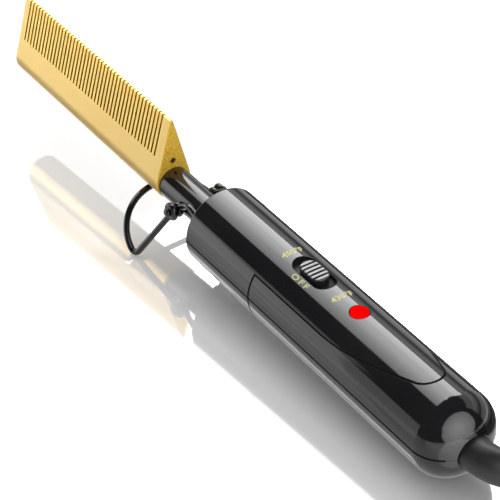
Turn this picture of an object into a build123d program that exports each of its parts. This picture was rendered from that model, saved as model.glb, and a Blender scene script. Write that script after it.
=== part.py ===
from build123d import *
from math import acos, asin, atan, atan2, cos, degrees, hypot, radians, sin, sqrt, tan
import os

# Electric hot comb, in millimetres. +X runs from the cord towards the comb's tip, +Y is the tool's near
# side and +Z is up. The tool stands on a flat surface at Z = 0, on the underside of its tail and on the
# feet of its wire stand, so its axis rises a little towards the tip. Inside the tool, places are given
# as x along that axis from the tail end, y across it, and z square to it, towards the comb's teeth.

# ---------------------------------------------------------------- driving dimensions

axis_rise = 2.6             # degrees that the tool's axis rises towards the tip

handle_length = 151.5
handle_radius = 16.5
shell_wall = 2.2
tail_dome = 13.4            # length of the elliptical dome at the tail
tail_land_radius = 7.0      # flat ring round the cord boot
tail_wall = 2.4
collar_length = 42.4        # front collar, from the handle's front to its joint with the rear shells
seam_gap = 0.15
split_gap = 0.1             # between the upper and the lower halves
neck_length = 9.0           # rear shells' neck inside the front collar
neck_root = 4.0
neck_wall = 1.2
neck_fit = 0.1

tongue_half_width = 13.3    # long tongue of the front upper cover, seen from above
tongue_skin = 1.2
tongue_straight_end = 70.0
tongue_flank_radius = 143.0
tongue_round_start = 25.0
tongue_fit = 0.1

nose_lip = 1.0              # shell lip in front of the nose ring
nose_lip_depth = 1.3
rim_round = 0.8             # outer edge of the handle's front
nose_ring_thickness = 2.9
nose_ring_fit = 0.15
bracket_plate = 1.4
bracket_plate_inset = 1.4   # inside the shells
bracket_seat = 1.5          # width of the rib that the bracket's plate rests on
rib_wall = 2.0

tube_radius = 6.8
tube_wall = 1.0
tube_bare = 34.2            # between the handle and the comb
tube_inside = 31.5          # hidden in the handle
tube_fit = 0.15
clamp_length = 11.0
clamp_wall = 2.4
clamp_slit = 2.0
clamp_fit = 0.02            # clamps hold the tube and the cord

comb_length = 113.9
comb_base_radius = 7.85
comb_base_rise = 0.85       # the base round's centre above the axis
comb_height = 28.8          # crest above the axis
crest_half_width = 0.6
comb_edge = 0.4             # chamfer round both end faces
slot_width = 1.15
slot_pitch = 2.418
slot_floor = 11.4           # above the axis
slot_near_margin = 5.35     # from the near end face to the first slot's centre
slot_tip_margin = 4.5
spigot_length = 14.0        # comb's neck inside the tube
spigot_fit = 0.08
hang_hole_radius = 1.2      # blind hole in the near end face, for plating
hang_hole_depth = 8.0
hang_hole_rise = 10.2

heater_bore_radius = 4.6
heater_bore_end = 11.6      # metal left between the bore and the tip
heater_sleeve_wall = 0.9
heater_fit = 0.06
heater_lead_radius = 0.7
heater_lead_y = 1.8

recess_x = 91.0             # centre of the switch recess
recess_length = 20.4
recess_width = 8.8
recess_depth = 2.3          # below the handle's top
recess_floor_wall = 1.0
recess_side_wall = 1.2
recess_window_gap = 1.9     # round the recess, in the shell under the tongue
knob_length = 12.8
knob_width = 7.2
knob_proud = 1.1            # above the handle's top
knob_round = 0.6
knob_travel = 3.5           # each way from OFF
knob_fit = 0.15
knob_grooves = 5
knob_groove_pitch = 2.0
knob_groove_width = 0.9
knob_groove_depth = 0.8
stem_length = 3.0
stem_width = 2.0
stem_fit = 0.2
stem_reach = 2.5            # below the recess, into the switch
lens_x = 64.1
lens_radius = 3.4
lens_proud = 0.15
lens_flange = 0.9
lens_flange_depth = 3.1     # below the handle's top
lens_fit = 0.1

board_back_x = 48.0
board_front_x = 106.0
board_half_width = 8.0
board_thickness = 1.6
switch_length = 17.0
switch_width = 7.4
switch_height = 8.1         # carries the board at the right depth under the recess
switch_gap = 0.5            # between the switch and the recess
triac_x = 73.5
triac_tab = 10.0
triac_tab_thickness = 1.3
triac_length = 5.0
triac_width = 9.0
triac_height = 4.4
capacitor_x = 56.5
capacitor_y = -3.5
capacitor_length = 5.0
capacitor_width = 4.4
capacitor_height = 6.5
fuse_radius = 1.7
fuse_length = 10.0
fuse_y = 6.0
lamp_radius = 2.5
lamp_standoff = 2.0         # above the board
lamp_lead_y = 1.27
lead_pad_y = 5.2            # where the leads meet the board's ends
post_radius = 2.0
post_inset = 5.0
post_y = 6.0
post_pin_radius = 0.9

boss_radius = 3.2
screw_radius = 1.1
screw_head_radius = 2.1
screw_head = 1.3
screw_fit = 0.1
screw_head_fit = 0.3
front_screw_back = 12.0     # behind the handle's front
front_screw_inset = 0.15    # from midway between the tube and the shells
front_screw_seat_z = -7.5
rear_screw_x = 34.0
rear_screw_seat_z = -11.5
screw_bite = 6.5            # screw length above the split
clamp_screw_length = 7.0

wire_radius = 1.1           # stand and bracket wire
wire_fit = 0.08             # hinge eye round its pin
hinge_reach = 18.1          # ahead of the handle's front
hinge_z = 0.0
arm_gap = 0.5               # between the tube and the bracket's arms
arm_root_drop = 8.8         # where the arms leave the handle, below its lip's opening
arm_root_bend = 6.0
arm_top_reach = 11.0        # ahead of the handle's front
arm_top_z = 8.2
arm_top_bend = 3.5
pin_bend = 1.6
eye_gap = 0.6               # between an arm and the stand's eye
pin_spare = 0.45            # of the pin, beyond the eye
pin_head_radius = 1.8
pin_head = 1.0
foot_reach = 11.6           # corners of the wire stand, ahead of its hinge
foot_spread = 5.2           # outside the handle, which the legs fold past
foot_bend = 2.4
hoop_straight = 3.6
hoop_depth = 20.0           # of the hoop's half ellipse
hoop_stop_gap = 0.3         # under the comb, where the stand stops

boot_radius = 6.35
boot_flange = 1.8
boot_flange_radius = 8.2
boot_bend_radius = 17.0
boot_bend = 45.0            # degrees, sideways
boot_roll = 15.0            # degrees that the bend dips below the level
boot_tail_radius = 95.0
boot_tail_bend = 15.0
boot_end_radius = 4.3
boot_straight = 0.3         # share of the boot before it tapers

cord_way = 0.6              # round the cord inside the boot's seat
cord_clamp_gap = 2.5        # between the cord and its clamp's screws
cord_clamp_bar = 2.0
cord_radius = 3.2
cord_lead_y = 1.4
hank_x = -246.0             # middle of the tied hank
hank_y = -15.2
hank_reach = 30.4           # from the middle to the centre of each fold
hank_fold = 25.6            # middle of the turns, round a fold
hank_spread = 8.6           # half the width of the bundle of turns
hank_pinch = 8.0            # the tie draws each side in by this much
hank_layers = 3
hank_round = 2.4
tie_width = 9.0
tie_strap = 0.45
tie_fit = 0.05

plug_x = -248.0             # where the cord meets the plug, which lies on the hank
plug_y = -32.2
plug_width = 24.0
plug_thickness = 14.0
plug_body_length = 20.0
plug_shoulder = 8.0
plug_relief = 16.0
blade_spacing = 12.7
blade_width = 6.35
blade_thickness = 1.5
blade_length = 17.0
blade_root = 6.0

# ---------------------------------------------------------------- places worked out from them

comb_x = handle_length + tube_bare
tip_x = comb_x + comb_length
seam_x = handle_length - collar_length
inner_radius = handle_radius - shell_wall
mid_wall = shell_wall / 2   # ribs and bosses reach into the wall as far as this
dome_x = tail_dome * sqrt(1 - (tail_land_radius / handle_radius) ** 2)
recess_floor_z = handle_radius - recess_depth
recess_bottom_z = recess_floor_z - recess_floor_wall
knob_top_z = handle_radius + knob_proud
stem_bottom_z = recess_bottom_z - stem_reach
lens_flange_z = handle_radius - lens_flange_depth
switch_top_z = recess_bottom_z - switch_gap
board_top_z = switch_top_z - switch_height
board_z = board_top_z - board_thickness
lip_radius = inner_radius - nose_lip_depth
bracket_plate_radius = inner_radius - bracket_plate_inset
arm_root_z = lip_radius - arm_root_drop
hinge_x = handle_length + hinge_reach
arm_y = tube_radius + arm_gap + wire_radius
eye_y = arm_y + 2 * wire_radius + eye_gap
pin_end_y = eye_y + wire_radius + pin_spare
foot_x = hinge_x + foot_reach
foot_y = handle_radius + foot_spread
cord_clamp_y = cord_radius + screw_radius + cord_clamp_gap
heater_end_x = tip_x - heater_bore_end
spigot_radius = tube_radius - tube_wall - spigot_fit
stem_slot_length = stem_length + 2 * (knob_travel + stem_fit)

rise = radians(axis_rise)
tail_height = hypot(tail_dome * sin(rise), handle_radius * cos(rise))
origin_z = tail_height - dome_x * sin(rise)
comb_bottom = comb_base_radius - comb_base_rise - comb_edge
origin_x = -(tip_x * cos(rise) + (comb_bottom - tail_land_radius) * sin(rise)) / 2
along = Vector(cos(rise), 0, sin(rise))
upward = Vector(-sin(rise), 0, cos(rise))
across = Vector(0, 1, 0)
tail_end = Vector(origin_x, 0, origin_z)
tool_axis = Axis(tail_end, along)


def at(x, y, z):
    """A place given along, across and square to the tool's axis."""
    return tail_end + along * x + across * y + upward * z


def station(x):
    """Plane square to the tool's axis: its own x is across, its own y is upward."""
    return Plane(at(x, 0, 0), x_dir=across, z_dir=along)


def plan(z=0.0):
    """Plane along the tool's axis, seen from above: its own x is along, its own y is across."""
    return Plane(at(0, 0, z), x_dir=along, z_dir=upward)


def profile(y=0.0):
    """Upright plane along the tool's axis: its own x is along, its own y is upward."""
    return Plane(at(0, y, 0), x_dir=along, z_dir=-across)


def finish(part, name):
    part.part.label = name
    export_step(part.part, f"parts/{name}.step")


os.makedirs("parts", exist_ok=True)

# ---------------------------------------------------------------- handle shells


def envelope(inset, x_from, x_to, mode=Mode.ADD):
    """The handle's round body with its domed tail, everywhere a distance inside the real surface."""
    radius = handle_radius - inset
    dome = tail_dome - inset
    with BuildSketch(plan()) as half:
        with BuildLine():
            if x_from < dome_x:
                dome_end = min(x_to, dome_x)
                start = degrees(acos((dome_end - dome_x) / dome))
                turn = degrees(acos((x_from - dome_x) / dome)) - start
                tail = EllipticalCenterArc((dome_x, 0), dome, radius, start, arc_size=turn)
                front = [(x_to, radius)] if x_to > dome_x else []
                Polyline(tail @ 1, (x_from, 0), (x_to, 0), *front, tail @ 0)
            else:
                Polyline((x_from, 0), (x_to, 0), (x_to, radius), (x_from, radius), close=True)
        make_face()
    revolve(half.sketch, axis=tool_axis, mode=mode)


def bore(radius, x_from, x_to, mode=Mode.SUBTRACT):
    """A round hole or bar along the tool's axis."""
    with BuildSketch(station(x_from)) as disc:
        Circle(radius)
    extrude(disc.sketch, amount=x_to - x_from, mode=mode)


def rib(x, hole_radius):
    """A rib across the inside of the handle, open in the middle."""
    envelope(mid_wall, x, x + rib_wall)
    bore(hole_radius, x, x + rib_wall)


def keep_half(upper):
    if upper:
        split(bisect_by=plan(split_gap / 2), keep=Keep.TOP)
    else:
        split(bisect_by=plan(-split_gap / 2), keep=Keep.BOTTOM)


def upright(x, y, radius, z_from, z_to, mode=Mode.ADD):
    """A round post or hole square to the tool's axis."""
    with BuildSketch(plan(z_from)) as disc:
        with Locations((x, y)):
            Circle(radius)
    extrude(disc.sketch, amount=z_to - z_from, mode=mode)


def tongue_outline(margin):
    """The tongue seen from above: parallel sides, long curved flanks and a round tip."""
    flank_turn = asin((tongue_straight_end - tongue_round_start) / tongue_flank_radius)
    flank_y = tongue_half_width - tongue_flank_radius * (1 - cos(flank_turn))
    tip_radius = flank_y / cos(flank_turn)
    tip_point = tongue_round_start + flank_y * tan(flank_turn) - tip_radius
    front = seam_x + 2 * neck_root
    with BuildSketch(plan()) as outline:
        with BuildLine():
            near = Line((front, tongue_half_width), (tongue_straight_end, tongue_half_width))
            near_flank = TangentArc(near @ 1, (tongue_round_start, flank_y), tangent=(-1, 0))
            tip = ThreePointArc(near_flank @ 1, (tip_point, 0), (tongue_round_start, -flank_y))
            far_end = (tongue_straight_end, -tongue_half_width)
            far_flank = TangentArc(far_end, tip @ 1, tangent=(-1, 0))
            Polyline(far_flank @ 0, (front, -tongue_half_width), near @ 0)
        make_face()
        if margin:
            offset(amount=margin)
    return outline.sketch


def tongue_slab(margin, skin):
    """The stretch of the handle's skin that lies under the tongue's outline."""
    with BuildPart() as slab:
        envelope(0, dome_x, seam_x + neck_root)
        envelope(skin, dome_x, seam_x + neck_root, Mode.SUBTRACT)
        extrude(tongue_outline(margin), amount=handle_radius + 1, mode=Mode.INTERSECT)
    return slab.part


def rear_shell():
    """Round wall, closed tail and the neck that plugs into the front collar."""
    neck_inset = shell_wall + neck_wall
    envelope(0, 0, seam_x)
    envelope(shell_wall + neck_fit, seam_x - 1, seam_x + neck_length)
    envelope(shell_wall, tail_wall, seam_x - neck_root, Mode.SUBTRACT)
    envelope(neck_inset, seam_x - neck_root - 1, seam_x + neck_length, Mode.SUBTRACT)


def boot_seat():
    """Round opening for the cord boot, and the rib that traps the boot's flange."""
    rib_x = tail_wall + boot_flange + 2 * neck_fit
    rib(rib_x, cord_radius + cord_way)
    bore(boot_flange_radius + neck_fit, tail_wall, rib_x)
    bore(boot_radius + neck_fit, -1, rib_x)


def front_shell():
    """Front collar with its nose lip and the ribs for the nose ring, the bracket and the tube clamp."""
    collar_x = seam_x + seam_gap
    envelope(0, collar_x, handle_length)
    fillet(faces().sort_by(tool_axis)[-1].edges(), rim_round)
    envelope(shell_wall, collar_x - 1, handle_length - nose_lip, Mode.SUBTRACT)
    envelope(shell_wall + nose_lip_depth, handle_length - nose_lip - 1, handle_length + 1, Mode.SUBTRACT)
    rib(bracket_rib_x, bracket_plate_radius - bracket_seat)
    rib(clamp_x - neck_fit - rib_wall, tube_radius + tube_fit)
    rib(clamp_x + clamp_length + neck_fit, tube_radius + tube_fit)


nose_ring_x = handle_length - nose_lip - neck_fit - nose_ring_thickness
bracket_x = nose_ring_x - neck_fit - bracket_plate
bracket_rib_x = bracket_x - neck_fit - rib_wall
clamp_x = handle_length - tube_inside + neck_fit + rib_wall
post_places = [(board_back_x + post_inset, post_y), (board_back_x + post_inset, -post_y)]
post_places += [(board_front_x - post_inset, post_y), (board_front_x - post_inset, -post_y)]
front_screw_x = handle_length - front_screw_back
front_screw_y = (tube_radius + inner_radius) / 2 - front_screw_inset
front_screws = [(front_screw_x, front_screw_y), (front_screw_x, -front_screw_y)]
cord_clamp_x = dome_x + 4.0
window_back_x = lens_x - lens_radius - lens_flange - 1
window_front_x = recess_x + recess_length / 2 + recess_side_wall + recess_window_gap
window_width = recess_width + 2 * (recess_side_wall + recess_window_gap)

with BuildPart() as rear_lower_posts:
    upright(rear_screw_x, 0, boss_radius, -handle_radius, -split_gap / 2)
    for x, y in post_places:
        upright(x, y, post_radius, -handle_radius, board_z)
        upright(x, y, post_pin_radius, board_z, board_top_z + 0.4)
    for y in (cord_clamp_y, -cord_clamp_y):
        upright(cord_clamp_x, y, screw_radius + 1.3, -handle_radius, cord_radius)
    envelope(mid_wall, tail_wall, seam_x, Mode.INTERSECT)

with BuildPart() as rear_lower_shell:
    rear_shell()
    boot_seat()
    keep_half(upper=False)
    add(rear_lower_posts.part)
    for y in (cord_clamp_y, -cord_clamp_y):
        upright(cord_clamp_x, y, screw_radius, cord_radius - clamp_screw_length, cord_radius, Mode.SUBTRACT)
    upright(rear_screw_x, 0, screw_radius + screw_fit, -handle_radius, 0, Mode.SUBTRACT)
    upright(rear_screw_x, 0, screw_head_radius + screw_head_fit, -handle_radius - 1, rear_screw_seat_z, Mode.SUBTRACT)
finish(rear_lower_shell, "rear_lower_shell")

with BuildPart() as rear_upper_boss:
    upright(rear_screw_x, 0, boss_radius, split_gap / 2, handle_radius)
    envelope(mid_wall, tail_wall, seam_x, Mode.INTERSECT)

with BuildPart() as rear_upper_shell:
    rear_shell()
    boot_seat()
    keep_half(upper=True)
    add(rear_upper_boss.part)
    upright(rear_screw_x, 0, screw_radius, 0, screw_bite + 1, Mode.SUBTRACT)
    add(tongue_slab(seam_gap, tongue_skin + tongue_fit), mode=Mode.SUBTRACT)
    # window under the tongue, for the switch recess and the pilot light
    with BuildSketch(plan(board_top_z)):
        with Locations(((window_back_x + window_front_x) / 2, 0)):
            Rectangle(window_front_x - window_back_x, window_width)
    extrude(amount=handle_radius, mode=Mode.SUBTRACT)
finish(rear_upper_shell, "rear_upper_shell")


def front_bosses(z_from, z_to):
    """Screw bosses on the collar's side walls, clear of the tube."""
    with BuildPart() as bosses:
        for x, y in front_screws:
            upright(x, y, boss_radius, z_from, z_to)
        envelope(mid_wall, seam_x, handle_length, Mode.INTERSECT)
        bore(tube_radius + tube_fit, seam_x, handle_length)
    return bosses.part


with BuildPart() as front_lower_shell:
    front_shell()
    keep_half(upper=False)
    add(front_bosses(-handle_radius, -split_gap / 2))
    for x, y in front_screws:
        upright(x, y, screw_radius + screw_fit, -handle_radius, 0, Mode.SUBTRACT)
        upright(x, y, screw_head_radius + screw_head_fit, -handle_radius, front_screw_seat_z, Mode.SUBTRACT)
finish(front_lower_shell, "front_lower_shell")

with BuildPart() as front_upper_cover:
    front_shell()
    keep_half(upper=True)
    add(tongue_slab(0, tongue_skin))
    add(front_bosses(split_gap / 2, handle_radius))
    for x, y in front_screws:
        upright(x, y, screw_radius, 0, screw_bite + 1, Mode.SUBTRACT)
    # switch recess: a cup let into the tongue, with a slot for the knob's stem
    with BuildSketch(plan(recess_bottom_z)):
        with Locations((recess_x, 0)):
            SlotOverall(recess_length + 2 * recess_side_wall, recess_width + 2 * recess_side_wall)
    extrude(amount=tongue_skin + recess_floor_wall)
    with BuildSketch(plan(recess_floor_z)):
        with Locations((recess_x, 0)):
            SlotOverall(recess_length, recess_width)
    extrude(amount=handle_radius, mode=Mode.SUBTRACT)
    with BuildSketch(plan(recess_bottom_z - 1)):
        with Locations((recess_x, 0)):
            Rectangle(stem_slot_length, stem_width + 2 * stem_fit)
    extrude(amount=recess_floor_wall + 2, mode=Mode.SUBTRACT)
    upright(lens_x, 0, lens_radius + lens_fit, 0, handle_radius + 1, Mode.SUBTRACT)
finish(front_upper_cover, "front_upper_cover")

# ---------------------------------------------------------------- nose ring, stand bracket and stand


def foot_corner(height):
    """Near corner of the stand's wire, before it is rounded, at a height above the surface."""
    z = (height - origin_z - foot_x * sin(rise)) / cos(rise)
    return at(foot_x, foot_y, z)


def hoop_way(corner):
    """Direction from a foot's corner along the hoop, up to its stop under the comb."""
    climb = comb_base_rise - comb_base_radius - hoop_stop_gap - wire_radius - (corner - tail_end).dot(upward)
    turn = asin(climb / (hoop_straight + hoop_depth))
    return along * cos(turn) + upward * sin(turn)


def corner_rise(leg_top, corner):
    """How far the rounded corner's wire centre stays above the sharp corner."""
    up_leg = (leg_top - corner).normalized()
    up_hoop = hoop_way(corner)
    half_angle = radians(up_leg.get_angle(up_hoop)) / 2
    centre_z = (up_leg + up_hoop).normalized().Z * foot_bend / sin(half_angle)
    normal = up_leg.cross(up_hoop).normalized()
    return centre_z - foot_bend * sqrt(1 - normal.Z ** 2)


lowest_rise = corner_rise(at(hinge_x, eye_y, hinge_z), foot_corner(wire_radius))
near_foot = foot_corner(wire_radius - lowest_rise)
far_foot = near_foot - across * 2 * foot_y

with BuildPart() as nose_ring:
    with BuildSketch(station(nose_ring_x)):
        Circle(inner_radius - nose_ring_fit)
        Circle(tube_radius + tube_fit, mode=Mode.SUBTRACT)
        with Locations((arm_y, arm_root_z), (-arm_y, arm_root_z)):
            Circle(wire_radius + tube_fit, mode=Mode.SUBTRACT)
    extrude(amount=nose_ring_thickness)
finish(nose_ring, "nose_ring")

with BuildPart() as stand_bracket:
    with BuildSketch(station(bracket_x)):
        Circle(bracket_plate_radius)
        Circle(tube_radius + tube_fit, mode=Mode.SUBTRACT)
    extrude(amount=bracket_plate)
    for y in (arm_y, -arm_y):
        outward = 1 if y > 0 else -1
        with BuildLine():
            arm = FilletPolyline(
                at(bracket_x + bracket_plate / 2, y, arm_root_z),
                at(handle_length + 1, y, arm_root_z),
                at(handle_length + arm_top_reach, y, arm_top_z),
                at(hinge_x, y, hinge_z),
                at(hinge_x, outward * pin_end_y, hinge_z),
                radius=[arm_root_bend, arm_top_bend, pin_bend],
            )
        with BuildSketch(Plane(arm @ 0, z_dir=along)):
            Circle(wire_radius)
        sweep(path=arm)
        with BuildSketch(Plane(at(hinge_x, outward * (pin_end_y - 0.1), hinge_z), z_dir=across * outward)):
            Circle(pin_head_radius)
        extrude(amount=pin_head)
finish(stand_bracket, "stand_bracket")

eye_radius = 2 * wire_radius + wire_fit
with BuildPart() as stand_wire:
    leg_way = (near_foot - at(hinge_x, foot_y, hinge_z)).normalized()
    near_eye = at(hinge_x, eye_y, hinge_z) + leg_way * (eye_radius + 0.3)
    far_eye = at(hinge_x, -eye_y, hinge_z) + leg_way * (eye_radius + 0.3)
    up_hoop = hoop_way(near_foot)
    near_hoop = near_foot + up_hoop * hoop_straight
    far_hoop = far_foot + up_hoop * hoop_straight
    hoop_plane = Plane((near_hoop + far_hoop) / 2, x_dir=across, z_dir=across.cross(up_hoop))
    with BuildLine() as hoop_line:
        EllipticalCenterArc((0, 0), foot_y, hoop_depth, 0, arc_size=180)
    with BuildLine() as wire_line:
        FilletPolyline(near_eye, near_foot, near_hoop, radius=foot_bend)
        add(hoop_plane * hoop_line.line)
        FilletPolyline(far_hoop, far_foot, far_eye, radius=foot_bend)
    with BuildSketch(Plane(near_eye, z_dir=near_foot - near_eye)):
        Circle(wire_radius)
    sweep(path=wire_line.wires()[0])
    for y in (eye_y, -eye_y):
        with Locations(Location(Plane(at(hinge_x, y, hinge_z), x_dir=along, z_dir=across))):
            Torus(eye_radius, wire_radius)
finish(stand_wire, "stand_wire")

# ---------------------------------------------------------------- barrel tube and its clamp

with BuildPart() as barrel_tube:
    with BuildSketch(station(handle_length - tube_inside)):
        Circle(tube_radius)
        Circle(tube_radius - tube_wall, mode=Mode.SUBTRACT)
    extrude(amount=tube_inside + tube_bare)
finish(barrel_tube, "barrel_tube")

with BuildPart() as tube_clamp:
    with BuildSketch(station(clamp_x)):
        Circle(tube_radius + clamp_wall)
        Circle(tube_radius + clamp_fit, mode=Mode.SUBTRACT)
        with Locations((0, tube_radius + clamp_wall)):
            Rectangle(clamp_slit, 2 * clamp_wall + 2, mode=Mode.SUBTRACT)
    extrude(amount=clamp_length)
finish(tube_clamp, "tube_clamp")

# ---------------------------------------------------------------- comb head and heater

slot_count = int((comb_length - slot_near_margin - slot_tip_margin) / slot_pitch) + 1
slots_centre_x = comb_x + slot_near_margin + (slot_count - 1) * slot_pitch / 2

with BuildPart() as comb_head:
    # drop-shaped section: round base, straight flanks tangent to it, narrow crest
    crest_distance = hypot(crest_half_width, comb_height - comb_base_rise)
    crest_bearing = atan2(comb_height - comb_base_rise, crest_half_width)
    flank_bearing = crest_bearing - acos(comb_base_radius / crest_distance)
    flank_y = comb_base_radius * cos(flank_bearing)
    flank_z = comb_base_rise + comb_base_radius * sin(flank_bearing)
    with BuildSketch(station(comb_x)):
        with BuildLine():
            base_bottom = (0, comb_base_rise - comb_base_radius)
            base = ThreePointArc((-flank_y, flank_z), base_bottom, (flank_y, flank_z))
            crest = [(crest_half_width, comb_height), (-crest_half_width, comb_height)]
            Polyline(base @ 1, *crest, base @ 0)
        make_face()
    extrude(amount=comb_length)
    near_face = faces().sort_by(tool_axis)[0]
    tip_face = faces().sort_by(tool_axis)[-1]
    chamfer(near_face.edges() + tip_face.edges(), comb_edge)
    with BuildSketch(station(comb_x - spigot_length)):
        Circle(spigot_radius)
    extrude(amount=spigot_length + comb_edge)
    with BuildSketch(station(comb_x - spigot_length)):
        Circle(heater_bore_radius)
    extrude(amount=heater_end_x - comb_x + spigot_length, mode=Mode.SUBTRACT)
    with BuildSketch(station(comb_x)):
        with Locations((0, hang_hole_rise)):
            Circle(hang_hole_radius)
    extrude(amount=hang_hole_depth, mode=Mode.SUBTRACT)
    # teeth: one sketch of saw cuts through the crest
    slot_height = comb_height - slot_floor + 1
    with BuildSketch(profile()):
        with Locations((slots_centre_x, slot_floor + slot_height / 2)):
            with GridLocations(slot_pitch, 0, slot_count, 1):
                Rectangle(slot_width, slot_height)
    extrude(amount=comb_base_radius, both=True, mode=Mode.SUBTRACT)
finish(comb_head, "comb_head")

heater_back_x = comb_x - 6.0
sleeve_radius = heater_bore_radius - heater_fit
rod_radius = sleeve_radius - heater_sleeve_wall - heater_fit

with BuildPart() as heater_sleeve:
    with BuildSketch(station(heater_back_x)):
        Circle(sleeve_radius)
        Circle(rod_radius + heater_fit, mode=Mode.SUBTRACT)
    extrude(amount=heater_end_x - 0.5 - heater_back_x)
finish(heater_sleeve, "heater_sleeve")

with BuildPart() as heater_rod:
    with BuildSketch(station(heater_back_x + 1)):
        Circle(rod_radius)
    extrude(amount=heater_end_x - 1.0 - heater_back_x - 1)
finish(heater_rod, "heater_rod")

lead_end_z = board_z + board_thickness / 2
with BuildPart() as heater_leads:
    for y, pad_y in ((heater_lead_y, lead_pad_y), (-heater_lead_y, -lead_pad_y)):
        with BuildLine():
            lead = FilletPolyline(
                at(heater_back_x + 1, y, 0),
                at(handle_length - tube_inside, y, 0),
                at(board_front_x + 4, pad_y, lead_end_z),
                at(board_front_x, pad_y, lead_end_z),
                radius=4.0,
            )
        with BuildSketch(Plane(lead @ 0, z_dir=-along)):
            Circle(heater_lead_radius)
        sweep(path=lead)
finish(heater_leads, "heater_leads")

# ---------------------------------------------------------------- control board and what sits on it

with BuildPart() as control_board:
    with BuildSketch(plan(board_z)):
        with Locations(((board_back_x + board_front_x) / 2, 0)):
            Rectangle(board_front_x - board_back_x, 2 * board_half_width)
        with Locations(*post_places):
            Circle(post_pin_radius + 0.1, mode=Mode.SUBTRACT)
    extrude(amount=board_thickness)
finish(control_board, "control_board")

with BuildPart() as switch_body:
    with BuildSketch(plan(board_top_z)):
        with Locations((recess_x, 0)):
            Rectangle(switch_length, switch_width)
    extrude(amount=switch_top_z - board_top_z)
    with BuildSketch(plan(stem_bottom_z - 0.3)):
        with Locations((recess_x, 0)):
            Rectangle(stem_slot_length, stem_width + 2 * stem_fit)
    extrude(amount=handle_radius, mode=Mode.SUBTRACT)
finish(switch_body, "switch_body")

with BuildPart() as switch_knob:
    with BuildSketch(plan(recess_floor_z + knob_fit)):
        with Locations((recess_x, 0)):
            SlotOverall(knob_length, knob_width)
    extrude(amount=knob_top_z - recess_floor_z - knob_fit)
    top_rim = faces().sort_by(Axis(tail_end, upward))[-1].edges()
    fillet(top_rim, knob_round)
    with BuildSketch(profile()):
        with Locations((recess_x, knob_top_z)):
            with GridLocations(knob_groove_pitch, 0, knob_grooves, 1):
                Rectangle(knob_groove_width, 2 * knob_groove_depth)
    extrude(amount=knob_width, both=True, mode=Mode.SUBTRACT)
    with BuildSketch(plan(stem_bottom_z)):
        with Locations((recess_x, 0)):
            Rectangle(stem_length, stem_width)
    extrude(amount=recess_floor_z + 1 - stem_bottom_z)
finish(switch_knob, "switch_knob")

with BuildPart() as pilot_lens:
    envelope(-lens_proud, lens_x - 8, lens_x + 8)
    with BuildSketch(plan(lens_flange_z)):
        with Locations((lens_x, 0)):
            Circle(lens_radius)
    extrude(amount=handle_radius, mode=Mode.INTERSECT)
    upright(lens_x, 0, lens_radius + lens_flange, lens_flange_z, lens_flange_z + 1)
finish(pilot_lens, "pilot_lens")

lamp_base_z = board_top_z + lamp_standoff
lamp_top_z = lens_flange_z - 0.3
with BuildPart() as pilot_lamp:
    upright(lens_x, 0, lamp_radius + 0.4, lamp_base_z, lamp_base_z + 1)
    upright(lens_x, 0, lamp_radius, lamp_base_z, lamp_top_z)
    fillet(faces().sort_by(Axis(tail_end, upward))[-1].edges(), lamp_radius - 0.2)
    for y in (lamp_lead_y, -lamp_lead_y):
        upright(lens_x, y, 0.3, board_top_z, lamp_base_z)
finish(pilot_lamp, "pilot_lamp")


def on_board(x, y, length, width, height):
    with BuildSketch(plan(board_top_z)) as footprint:
        with Locations((x, y)):
            Rectangle(length, width)
    extrude(footprint.sketch, amount=height)


with BuildPart() as triac:
    on_board(triac_x, 0, triac_tab, triac_tab, triac_tab_thickness)
    on_board(triac_x + 2, 0, triac_length, triac_width, triac_height)
    fillet(faces().sort_by(Axis(tail_end, upward))[-1].edges(), 0.4)
finish(triac, "triac")

with BuildPart() as capacitor:
    on_board(capacitor_x, capacitor_y, capacitor_length, capacitor_width, capacitor_height)
    fillet(faces().sort_by(Axis(tail_end, upward))[-1].edges(), 0.8)
finish(capacitor, "capacitor")

with BuildPart() as thermal_fuse:
    fuse_z = board_top_z + fuse_radius
    with BuildSketch(Plane(at(recess_x - 7, fuse_y, fuse_z), x_dir=across, z_dir=along)):
        Circle(fuse_radius)
    extrude(amount=fuse_length)
finish(thermal_fuse, "thermal_fuse")

# ---------------------------------------------------------------- cord boot, cord clamp and leads

boot_tilt = radians(boot_roll)
boot_side = -across * cos(boot_tilt) - upward * sin(boot_tilt)
boot_plane = Plane(tail_end, x_dir=-along, z_dir=(-along).cross(boot_side))

with BuildLine(boot_plane) as boot_path:
    first_bend = JernArc((0, 0), (1, 0), boot_bend_radius, boot_bend)
    JernArc(first_bend @ 1, first_bend % 1, boot_tail_radius, boot_tail_bend)
boot_wire = boot_path.wires()[0]
boot_end = boot_wire @ 1
boot_heading = boot_wire % 1

with BuildPart() as cord_boot:
    boot_stages = 6
    for stage in range(boot_stages + 1):
        share = stage / boot_stages
        narrowing = max(0.0, share - boot_straight) / (1 - boot_straight)
        radius = boot_radius - (boot_radius - boot_end_radius) * narrowing
        with BuildSketch(Plane(boot_wire @ share, z_dir=boot_wire % share)):
            Circle(radius)
    loft()
    with BuildSketch(station(0)):
        Circle(boot_radius)
    extrude(amount=tail_wall + neck_fit + boot_flange)
    with BuildSketch(station(tail_wall + neck_fit)):
        Circle(boot_flange_radius)
    extrude(amount=boot_flange)
finish(cord_boot, "cord_boot")

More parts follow.
